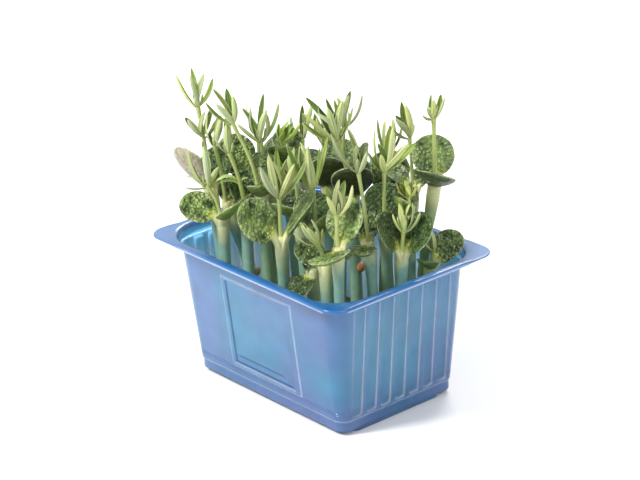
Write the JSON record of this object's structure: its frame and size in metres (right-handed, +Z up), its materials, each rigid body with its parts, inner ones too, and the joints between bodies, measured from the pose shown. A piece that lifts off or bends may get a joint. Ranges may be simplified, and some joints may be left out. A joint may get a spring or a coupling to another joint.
{
  "type": "microgreens tray",
  "caption": "Thin blue formed plastic tray with a flange, a framed panel and fluted ends, full of thick-stalked sprouts with round seed leaves and slender young leaves.",
  "frame": {"origin": "middle of the foot pad that the tray stands on", "axes": "+Z up, X along the tray's length, -Y out of the long wall with the framed panel that faces the viewer"},
  "size_m": [0.142, 0.1048, 0.1559],
  "materials": {
    "plastic": "glossy, slightly see-through",
    "mat": "rough, moist fibre",
    "seed_coat": "matt, papery",
    "seedling": "satin, fleshy",
    "shoot": "satin"
  },
  "bodies": {
    "root": {"tray": "plastic", "growing_mat": "mat", "seed_coat_1": "seed_coat", "seed_coat_2": "seed_coat", "seed_coat_3": "seed_coat", "seed_coat_4": "seed_coat", "seedling_01": "seedling", "seedling_02": "seedling", "seedling_03": "seedling", "seedling_04": "seedling", "seedling_05": "seedling", "seedling_06": "seedling", "seedling_07": "seedling", "seedling_08": "seedling", "seedling_09": "seedling", "seedling_10": "seedling", "seedling_11": "seedling", "seedling_12": "seedling", "seedling_13": "seedling", "seedling_14": "seedling", "seedling_15": "seedling", "seedling_16": "seedling", "seedling_17": "seedling", "seedling_18": "seedling", "seedling_19": "seedling", "seedling_20": "seedling", "seedling_21": "seedling", "seedling_22": "seedling", "seedling_23": "seedling", "seedling_24": "seedling", "seedling_25": "seedling", "seedling_26": "seedling", "shoot_01": "shoot", "shoot_02": "shoot", "shoot_03": "shoot", "shoot_04": "shoot", "shoot_05": "shoot", "shoot_06": "shoot", "shoot_07": "shoot", "shoot_08": "shoot", "shoot_09": "shoot", "shoot_10": "shoot", "shoot_11": "shoot", "shoot_12": "shoot", "shoot_13": "shoot", "shoot_14": "shoot", "shoot_15": "shoot", "shoot_16": "shoot", "shoot_17": "shoot", "shoot_18": "shoot", "shoot_19": "shoot", "shoot_20": "shoot", "shoot_21": "shoot", "shoot_22": "shoot", "shoot_23": "shoot", "shoot_24": "shoot", "shoot_25": "shoot", "shoot_26": "shoot"}
  },
  "joints": []
}
